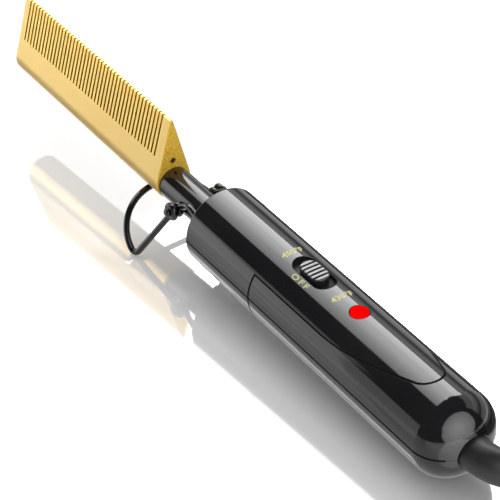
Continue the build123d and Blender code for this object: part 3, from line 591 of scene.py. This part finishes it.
def lathed(name, middle, axis, outline, material, body, steps=48):
    """A turned ring or button; outline is distances along its axis and radii, in millimetres."""
    shape = bmesh.new()
    side = axis.orthogonal().normalized()
    up = axis.cross(side)
    rings = []
    for distance, radius in outline:
        centre = middle + axis * distance / 1000
        angles = (2 * pi * step / steps for step in range(steps))
        spokes = [side * cos(angle) + up * sin(angle) for angle in angles]
        rings.append([shape.verts.new(centre + spoke * radius / 1000) for spoke in spokes])
    for first, second in zip(rings, rings[1:] + rings[:1]):
        for step in range(steps):
            shape.faces.new((first[step], first[step - 1], second[step - 1], second[step]))
    bmesh.ops.remove_doubles(shape, verts=shape.verts, dist=weld)
    bmesh.ops.recalc_face_normals(shape, faces=shape.faces)
    for face in shape.faces:
        face.smooth = True
    mesh = bpy.data.meshes.new(name)
    shape.to_mesh(mesh)
    shape.free()
    piece = placed(name, mesh)
    wear(piece, material)
    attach(piece, body)
    return piece


arm_runs = []
for outward in (1, -1):
    arm = bent(
        [
            on_tool(146.7, outward * arm_y, 4.2),
            on_tool(153.0, outward * arm_y, 4.2),
            on_tool(161.8, outward * arm_y, 6.4),
            on_tool(hinge_x, outward * arm_y, 0.6),
        ],
        arm_bends,
    )
    pin = [on_tool(hinge_x, outward * (arm_y - 0.8), 0), on_tool(hinge_x, outward * pin_end_y, 0)]
    coil = turn_of_wire(outward * arm_y, arm_turn_radius)
    arm_runs += [(arm, wire_radius), (coil, wire_radius), (pin, pin_radius)]
bracket_wires = wires("bracket_wires", arm_runs, "handle")
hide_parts("stand_bracket")
lathed(
    "bracket_plate",
    on_tool(146.0, 0, 0),
    along,
    [(0, 6.95), (0.1, 6.85), (1.3, 6.85), (1.4, 6.95), (1.4, 12.7), (1.2, 12.9), (0.2, 12.9), (0, 12.7)],
    wire_black,
    "handle",
)
button = [
    (0, 0.001), (0, head_radius - 0.3), (0.3, head_radius),
    (0.8, head_radius - 0.2), (1.2, 1.2), (1.35, 0.001),
]
for name, outward in (("near_pin_head", 1), ("far_pin_head", -1)):
    under_head = on_tool(hinge_x, outward * (pin_end_y - 0.3), 0)
    lathed(name, under_head, across * outward, button, wire_black, "handle", 32)

foot_half_width = 21.7
leg_start = 2.6
foot_bend = 0.0024                         # in metres, like the next two
hoop_straight, hoop_depth = 0.0036, 0.020
leg_way = Vector((0.470268, 0, -0.882523))
hoop_way = Vector((0.7152, 0, 0.6989))
feet = [Vector((0.0324824, outward * foot_half_width / 1000, 0.00003)) for outward in (1, -1)]
eyes = [on_tool(hinge_x, outward * eye_y, 0) + leg_way * leg_start / 1000 for outward in (1, -1)]
hoop_starts = [foot + hoop_way * hoop_straight for foot in feet]
hoop_middle = (hoop_starts[0] + hoop_starts[1]) / 2
hoop_side, hoop_front = across * foot_half_width / 1000, hoop_way * hoop_depth
hoop_turns = [pi * step / 36 for step in range(1, 36)]
hoop = [hoop_middle + hoop_side * cos(turn) + hoop_front * sin(turn) for turn in hoop_turns]
near_leg = bent([eyes[0], feet[0], hoop_starts[0]], [foot_bend])
far_leg = bent([hoop_starts[1], feet[1], eyes[1]], [foot_bend])
stand_runs = [(near_leg + hoop + far_leg, wire_radius)]
stand_runs += [(turn_of_wire(y, eye_radius), wire_radius) for y in (eye_y, -eye_y)]
bent_stand = wires("bent_stand", stand_runs, "stand")
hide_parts("stand_wire")

# ------------------------------------------------------------------ cord boot
# Strain relief moulded over the cord in soft black rubber, held by a flange inside the tail. It bends
# towards the near side and narrows to the cord, with the fine matt skin of the mould.

rubber, _ = grained(
    "matt black rubber",
    colours=((0.006, 0.006, 0.006), (0.013, 0.013, 0.0135)),
    grain=3200.0, patches=70.0, roughness=(0.4, 0.54),
    depth=0.00005, strength=0.5,
)
wear(parts["cord_boot"], rubber)
wear(parts["plug_body"], rubber)
wear(parts["mains_leads"], rubber)

# ------------------------------------------------------------------ mains cord
# About 1.8 m of round rubber-sheathed cord, 6.4 mm across, from the boot to the plug. It is put away in
# a tied hank behind the tail: six turns in three layers, which wind inwards, outwards and inwards again.

cord_diameter = 0.0064
hank_middle = Vector((-0.2460, -0.0152, 0.0))
hank_reach = 0.0304          # from the middle to the centre of each fold
hank_pinch = 0.008           # the tie draws each side in by this much
inner_lane = 0.0199          # radius round the folds
lane_shift = 0.0128          # two turns lie side by side
lowest_z = 0.0037
side_stations, fold_steps = 3, 10
half_stations = side_stations + fold_steps + 1
layer_stations = 4 * half_stations
side_reach = (hank_reach**2 - hank_pinch**2) / (2 * hank_pinch)
side_angle = atan(hank_reach / side_reach)
inside_corners = 0.99        # the smooth line runs this far inside its points


def hank_point(number, lane, z):
    """A point of the hank: three along each drawn-in side, then eleven round the fold."""
    half, step = divmod(number, half_stations)
    if step < side_stations:
        turn = side_angle * (step - 1) / 2
        side_radius = side_reach + hank_pinch - lane
        x, y = -side_radius * sin(turn), side_radius * cos(turn) - side_reach
    else:
        turn = side_angle - pi / 2 - (pi + 2 * side_angle) * (step - side_stations) / fold_steps
        x, y = lane / inside_corners * cos(turn) - hank_reach, lane / inside_corners * sin(turn)
    way = -1 if half % 2 else 1
    return hank_middle + Vector((way * x, way * y, z))


cord_route = [
    Vector((-0.176440, -0.023810, 0.008340)),
    Vector((-0.179900, -0.029700, 0.006600)),
    Vector((-0.187000, -0.040200, 0.004000)),
    Vector((-0.197500, -0.047800, 0.003700)),
    Vector((-0.210000, -0.050600, 0.003700)),
    Vector((-0.222000, -0.049000, 0.003700)),
    Vector((-0.231000, -0.045200, 0.003700)),
    Vector((-0.238500, -0.041400, 0.003700)),
]
for number in range(3 * layer_stations - 4):
    layer, along_layer = divmod(number, layer_stations)
    wound = min(max((along_layer - 2.5) / (layer_stations - 5), 0), 1)
    lane = inner_lane + lane_shift * (wound if layer == 1 else 1 - wound)
    past_climb = number - layer_stations * round(number / layer_stations)
    level = layer
    if number > 2 and abs(past_climb) < 2:
        level = round(number / layer_stations) - 0.5 + 0.3 * past_climb
    cord_route.append(hank_point(number + 1, lane, lowest_z + level * cord_diameter))
cord_route += [
    Vector((-0.209600, -0.034600, 0.017000)),
    Vector((-0.218600, -0.035300, 0.019800)),
    Vector((-0.229000, -0.033600, 0.024600)),
    Vector((-0.241500, -0.032200, 0.026700)),
    Vector((-0.248000, -0.032200, 0.026700)),
]

cord_curve = bpy.data.curves.new("mains_lead", "CURVE")
cord_curve.dimensions = "3D"
line = cord_curve.splines.new("NURBS")
line.points.add(len(cord_route) - 1)
for point, where in zip(line.points, cord_route):
    point.co = (*where, 1)
line.order_u = 3
line.use_endpoint_u = True
line.resolution_u = 6
cord_curve.bevel_depth = cord_diameter / 2
cord_curve.bevel_resolution = 5
mains_lead = placed("mains_lead", cord_curve)

sheath, _ = grained(
    "black cord sheath",
    colours=((0.011, 0.011, 0.011), (0.020, 0.020, 0.020)),
    grain=1600.0, patches=40.0, roughness=(0.42, 0.58),
    depth=0.00004, strength=0.4,
)
wear(mains_lead, sheath)
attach(mains_lead, "handle")
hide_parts("mains_cord", "cord_hank", "cord_end")

# ------------------------------------------------------------------ cord tie and plug
# Hook-and-loop strap round the hank, and a moulded two-blade plug. The strap is black woven nylon, and
# the plug is moulded onto the cord in the same rubber as the boot, with flat brass blades.

strap, tree, shader = finish("woven strap", (0.014, 0.014, 0.015), 0.85)
place = node(tree, "ShaderNodeTexCoord").outputs["Object"]
loops = node(tree, "ShaderNodeTexVoronoi")
feed(tree, place, loops.inputs["Vector"])
loops.inputs["Scale"].default_value = 1500.0
nap = stretch(tree, loops.outputs["Distance"], 0.0, 0.7)
feed(tree, blend_colour(tree, nap, (0.006, 0.006, 0.006), (0.035, 0.035, 0.036)), shader.inputs["Base Color"])
shader.inputs["Sheen Weight"].default_value = 0.3
bump(tree, shader, nap, 0.0003, 0.8)

strap_x = (-250.5, -241.5)
strap_y = (-43.4, 9.8)
strap_z = (0.03, 20.15)
strap_thickness = 0.45
strap_edge = 0.2
strap_corner = 3.4
flap_y = (-14.0, 7.0)
flap_sunk = 0.02
flap_steps = 10


def strap_line(inset):
    """The strap's way round the hank, seen along the tool; inset is how far inside its outer face."""
    corner = strap_corner - inset
    line = []
    corners = ((1, 1), (0, 1), (0, 0), (1, 0))
    for quarter, (side, level) in enumerate(corners):
        y, z = strap_y[side], strap_z[level]
        inward_y = -1 if y > 0 else 1
        inward_z = -1 if z > strap_corner else 1
        for step in range(7):
            turn = (quarter + step / 6) * pi / 2
            line.append((
                y + inward_y * strap_corner + corner * cos(turn),
                z + inward_z * strap_corner + corner * sin(turn),
            ))
    return line


shape = bmesh.new()
rows = []
outer, inner = strap_line(0), strap_line(strap_thickness)
outer_edges = ((outer, strap_x[0] + strap_edge), (outer, strap_x[1] - strap_edge))
for line, x in (*outer_edges, (inner, strap_x[1]), (inner, strap_x[0])):
    rows.append([shape.verts.new((x / 1000, y / 1000, z / 1000)) for y, z in line])
for first, second in zip(rows, rows[1:] + rows[:1]):
    for step in range(len(outer)):
        shape.faces.new((first[step], first[step - 1], second[step - 1], second[step]))
flap_rows = []
for step in range(flap_steps + 1):
    share = step / flap_steps
    y = flap_y[1] + (flap_y[0] - flap_y[1]) * share
    half_width = (strap_x[1] - strap_x[0]) / 2 * min(1, 0.3 + 0.7 * cos(max(0, share - 0.8) * 2.5 * pi))
    middle_x = (strap_x[0] + strap_x[1]) / 2
    under_z = strap_z[1] - flap_sunk
    top_z = strap_z[1] + strap_thickness * (0.9 if step else 0.05)
    flap_rows.append([
        shape.verts.new(((middle_x + side * half_width) / 1000, y / 1000, z / 1000))
        for side, z in ((-1, under_z), (-1, top_z), (1, top_z), (1, under_z))
    ])
for first, second in zip(flap_rows, flap_rows[1:]):
    for corner in range(4):
        shape.faces.new((first[corner], first[corner - 1], second[corner - 1], second[corner]))
shape.faces.new(flap_rows[0])
shape.faces.new(flap_rows[-1])
bmesh.ops.recalc_face_normals(shape, faces=shape.faces)
strap_mesh = bpy.data.meshes.new("hank_strap")
shape.to_mesh(strap_mesh)
shape.free()
hank_strap = placed("hank_strap", strap_mesh)
wear(hank_strap, strap)
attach(hank_strap, "handle")
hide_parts("cord_tie")

relief_start = Vector((-0.248, -0.0322, 0.0267))
relief_way = Vector((-1, 0, 0))
relief_length = 16
first_rib, rib_pitch = 2.4, 2.6
thinnest_rib, relief_growth = 4.8, 1.5
relief_ribs = []
for number in range(5):
    distance = first_rib + rib_pitch * number
    rib_radius = thinnest_rib + relief_growth * distance / relief_length
    half_rib = [(0.2, rib_radius), (0.5, rib_radius - 0.2), (0.7, rib_radius - 0.9)]
    rib = [(-step, radius) for step, radius in reversed(half_rib)] + half_rib
    middle = relief_start + relief_way * distance / 1000
    name = f"relief_rib_{number + 1}"
    relief_ribs.append(lathed(name, middle, relief_way, rib, rubber, "handle"))

blade, _ = grained(
    "plain brass",
    colours=((0.64, 0.48, 0.20), (0.78, 0.64, 0.34)),
    grain=1200.0, patches=180.0, roughness=(0.22, 0.42),
    depth=0.00003, strength=0.3, metallic=1.0,
)
wear(parts["plug_blades"], blade)

# what is put away behind the tail is kept out of the polished tail and of the floor's mirror image
for piece in (mains_lead, hank_strap, parts["plug_body"], parts["plug_blades"], *relief_ribs):
    piece.visible_glossy = False

# ------------------------------------------------------------------ floor
# Polished white acrylic sheet, which runs on to a white horizon. It takes the tool's soft shadow and its
# mirror image, which fades outwards from under the handle, where its glow is turned down as painted shadow.

strip_near, strip_far = (-0.044, -0.036), (-0.25, -0.2)  # a dark strip that polished pieces mirror
behind_tail, under_comb, ahead_of_handle = (-0.20, -0.15), (0.02, 0.06), (0.0, 0.05)
near_side, past_middle = (0.010, 0.060), (-0.02, 0.0)
shown_middle = Vector((-0.08, 0.015, 0.0))
shown_x, shown_y = (0.25, 0.60), (0.075, 0.42)           # beyond these, the floor is plain white
mirrored_handle, mirrored_comb, mirrored_tail = 0.45, 0.08, 0.7
near_glows, tail_glow, far_glow, ahead_share, plain_glow = (0.03, 0.46), 0.16, 0.32, 0.95, 0.62

ground = bmesh.new()
bmesh.ops.create_grid(ground, x_segments=8, y_segments=8, size=6)
floor_mesh = bpy.data.meshes.new("floor")
ground.to_mesh(floor_mesh)
ground.free()
floor = placed("floor", floor_mesh)
acrylic, tree, shader = finish("white acrylic sheet", (0.9, 0.9, 0.9), 0.05, metallic=0.24)
rays = node(tree, "ShaderNodeLightPath").outputs
spot = node(tree, "ShaderNodeSeparateXYZ")
feed(tree, node(tree, "ShaderNodeTexCoord").outputs["Object"], spot.inputs[0])
spot_x, spot_y = spot.outputs["X"], spot.outputs["Y"]
strip = stretch(tree, spot_y, *strip_near, 1.0, 0.0)
strip = maths(tree, "MULTIPLY", strip, stretch(tree, spot_y, *strip_far))
mirrored = blend_colour(tree, strip, (0.95, 0.95, 0.95), (0.03, 0.03, 0.03))
bounced = blend_colour(tree, rays["Is Glossy Ray"], (0.8, 0.8, 0.8), mirrored)
sheet_colour = blend_colour(tree, rays["Is Camera Ray"], bounced, (0.97, 0.97, 0.97))
feed(tree, sheet_colour, shader.inputs["Base Color"])
shader.inputs["Emission Color"].default_value = (1, 1, 1, 1)

# what polished pieces mirror
at_tail = stretch(tree, spot_x, *behind_tail, 1.0, 0.0)
mirrored_glow = stretch(tree, spot_x, *under_comb, mirrored_handle, mirrored_comb)
mirrored_glow = maths(tree, "MULTIPLY_ADD", at_tail, mirrored_tail, mirrored_glow)
mirrored_glow = maths(tree, "MULTIPLY", mirrored_glow, stretch(tree, strip, 0.0, 1.0, 1.0, 0.0))
mirrored_glow = maths(tree, "MULTIPLY", rays["Is Glossy Ray"], mirrored_glow)

# what is seen: a painted shadow, dim under the handle's near side, then brighter outwards, and white all
# round
near_glow = stretch(tree, spot_y, *near_side, *near_glows)
near_glow = maths(tree, "MULTIPLY_ADD", at_tail, tail_glow, near_glow)
far_side = stretch(tree, spot_y, *past_middle, 1.0, 0.0)
ahead = maths(tree, "MULTIPLY", stretch(tree, spot_x, *ahead_of_handle), ahead_share)
open_glow = maths(tree, "MULTIPLY", maths(tree, "MAXIMUM", far_side, ahead), far_glow)
aside_x = maths(tree, "ABSOLUTE", maths(tree, "SUBTRACT", spot_x, shown_middle.x))
aside_y = maths(tree, "ABSOLUTE", maths(tree, "SUBTRACT", spot_y, shown_middle.y))
aside = maths(tree, "MAXIMUM", stretch(tree, aside_x, *shown_x), stretch(tree, aside_y, *shown_y))
seen_glow = maths(tree, "MAXIMUM", near_glow, open_glow)
seen_glow = maths(tree, "MAXIMUM", seen_glow, maths(tree, "MULTIPLY", aside, plain_glow))
glow = maths(tree, "MULTIPLY_ADD", rays["Is Camera Ray"], seen_glow, mirrored_glow)
feed(tree, glow, shader.inputs["Emission Strength"])
wear(floor, acrylic)

# ------------------------------------------------------------------ studio light
# One broad softbox hangs ahead of the tool on its far side, and fades towards the near side. A round
# one stands behind the tail, and a low one ahead of the comb on the near side. The ceiling between them
# is dark, and the walls are white.

room_up = (0.0, 0.35, 0.937)
behind_camera = (-0.857, 0.515, 0.0)
lowest_lean, highest_lean = -0.5, 1.0
wall_bands = (
    (-0.15, 0.62), (-0.11, 0.14), (-0.02, 0.18), (0.06, 0.5),
    (0.2, 1.0), (0.24, 0.66), (0.49, 0.66), (0.52, 0.05),
)

world = bpy.data.worlds.new("studio")
bpy.context.scene.world = world
world.use_nodes = True
tree = world.node_tree
tree.nodes.clear()
rays = node(tree, "ShaderNodeLightPath").outputs
outlook = node(tree, "ShaderNodeTexCoord").outputs["Generated"]
leaning = node(tree, "ShaderNodeVectorMath", operation="DOT_PRODUCT")
feed(tree, outlook, leaning.inputs[0])
leaning.inputs[1].default_value = room_up
heights = node(tree, "ShaderNodeValToRGB")
lean = stretch(tree, leaning.outputs["Value"], lowest_lean, highest_lean)
feed(tree, lean, heights.inputs["Fac"])
bands = heights.color_ramp.elements
while len(bands) < len(wall_bands):
    bands.new(0.5)
for band, (lean, grey) in zip(bands, wall_bands):
    band.position = (lean - lowest_lean) / (highest_lean - lowest_lean)
    band.color = (grey, grey, grey, 1)
behind = node(tree, "ShaderNodeVectorMath", operation="DOT_PRODUCT")
feed(tree, outlook, behind.inputs[0])
behind.inputs[1].default_value = behind_camera
walls = node(tree, "ShaderNodeBackground")
walls.inputs["Strength"].default_value = 1.6
unlit = stretch(tree, behind.outputs["Value"], -0.02, 0.02)
feed(tree, blend_colour(tree, unlit, heights.outputs["Color"], (0.05, 0.05, 0.053)), walls.inputs["Color"])
backdrop = node(tree, "ShaderNodeBackground")
fill = node(tree, "ShaderNodeBackground")
fill.inputs["Strength"].default_value = 0.5
reflected = node(tree, "ShaderNodeMixShader")
feed(tree, rays["Is Glossy Ray"], reflected.inputs["Fac"])
feed(tree, fill.outputs[0], reflected.inputs[1])
feed(tree, walls.outputs[0], reflected.inputs[2])
for background in (backdrop, fill):
    background.inputs["Color"].default_value = (1, 1, 1, 1)
direct = node(tree, "ShaderNodeMixShader")
feed(tree, maths(tree, "MAXIMUM", rays["Is Camera Ray"], rays["Is Transmission Ray"]), direct.inputs["Fac"])
feed(tree, reflected.outputs[0], direct.inputs[1])
feed(tree, backdrop.outputs[0], direct.inputs[2])
feed(tree, direct.outputs[0], node(tree, "ShaderNodeOutputWorld").inputs["Surface"])


def softbox(name, place, aim, width, depth, radiance, shape="RECTANGLE"):
    """An area light of an even radiance, which the camera itself doesn't see."""
    light = bpy.data.lights.new(name, "AREA")
    light.shape = shape
    light.size = width
    light.size_y = depth
    light.energy = radiance * pi * width * depth * (pi / 4 if shape == "ELLIPSE" else 1)
    lamp = placed(name, light)
    lamp.location = place
    lamp.rotation_euler = (Vector(aim) - Vector(place)).to_track_quat("-Z", "Y").to_euler()
    lamp.visible_camera = False
    return lamp


def graded(lamp, falls):
    """Gives a softbox an uneven glow; falls is a function from its own 0-1 coordinates to a strength."""
    lamp.data.use_nodes = True
    tree = lamp.data.node_tree
    tree.nodes.clear()
    spot = node(tree, "ShaderNodeSeparateXYZ")
    feed(tree, node(tree, "ShaderNodeNewGeometry").outputs["Parametric"], spot.inputs[0])
    glow = node(tree, "ShaderNodeEmission")
    feed(tree, falls(tree, spot.outputs["X"], spot.outputs["Y"]), glow.inputs["Strength"])
    feed(tree, glow.outputs[0], node(tree, "ShaderNodeOutputLight").inputs["Surface"])


def from_the_middle(tree, x, y):
    """The distance from the softbox's middle, 1 at its rim."""
    squares = [maths(tree, "POWER", maths(tree, "MULTIPLY_ADD", side, 2.0, -1.0), 2.0) for side in (x, y)]
    return maths(tree, "SQRT", maths(tree, "ADD", *squares))


def fading_forwards(tree, x, y):
    """Even, then weaker towards the near side, with rounded corners that fade over the last part."""
    outwards = [maths(tree, "ABSOLUTE", maths(tree, "MULTIPLY_ADD", side, 2.0, -1.0)) for side in (x, y)]
    powers = [maths(tree, "POWER", side, 6.0) for side in outwards]
    rim = stretch(tree, maths(tree, "ADD", *powers), 0.88, 1.0, 1.0, 0.0)
    return maths(tree, "MULTIPLY", rim, stretch(tree, y, 0.58, 1.0, 1.0, 0.4))


# of two lamps in one place, polish mirrors the softbox, and the diffuser lights matt surfaces
for name, radiance in (("top softbox", 6.8), ("top diffuser", 4.4)):
    top_box = softbox(name, (0.60, -0.304, 0.72), (0.60, -0.304, 0.0), 0.72, 1.052, radiance)
    top_box.rotation_euler = (0, 0, 0)
    top_box.visible_diffuse = name == "top diffuser"
    top_box.visible_glossy = name == "top softbox"
    graded(top_box, fading_forwards)

tail_place, tail_aim, tail_width = (-1.05, 0.03, 0.46), (-0.13, 0.0, 0.02), 1.66
tail_box = softbox("tail softbox", tail_place, tail_aim, tail_width, tail_width, 4.8, "ELLIPSE")
tail_box.visible_diffuse = False
tail_fill = softbox("tail diffuser", tail_place, tail_aim, tail_width, tail_width, 1.4, "ELLIPSE")
tail_fill.visible_glossy = False
graded(tail_box, lambda tree, x, y: stretch(tree, from_the_middle(tree, x, y), 0.0, 1.0, 1.0, 0.45))

near_box = softbox("near softbox", (0.42, 0.30, 0.08), (0.42, 0.0, 0.08), 0.60, 0.20, 2.4)
near_box.visible_diffuse = False
graded(near_box, lambda tree, x, y: stretch(tree, x, 0.3, 1.0, 1.0, 0.3))

# ------------------------------------------------------------------ camera
# A long lens behind the tail on the near side, 36 degrees above the floor. It looks towards the comb, at
# 34 degrees to the tool's own line.

lens = bpy.data.cameras.new("camera")
lens.sensor_width = 36.0
lens.lens = 142.394
lens.clip_start, lens.clip_end = 0.01, 50
camera = placed("camera", lens)
camera.location = (-0.524941, 0.326678, 0.450874)
camera.rotation_euler = (0.9528419, 0.0296200, -2.1638929)
bpy.context.scene.camera = camera
bpy.context.scene.view_settings.view_transform = "Standard"
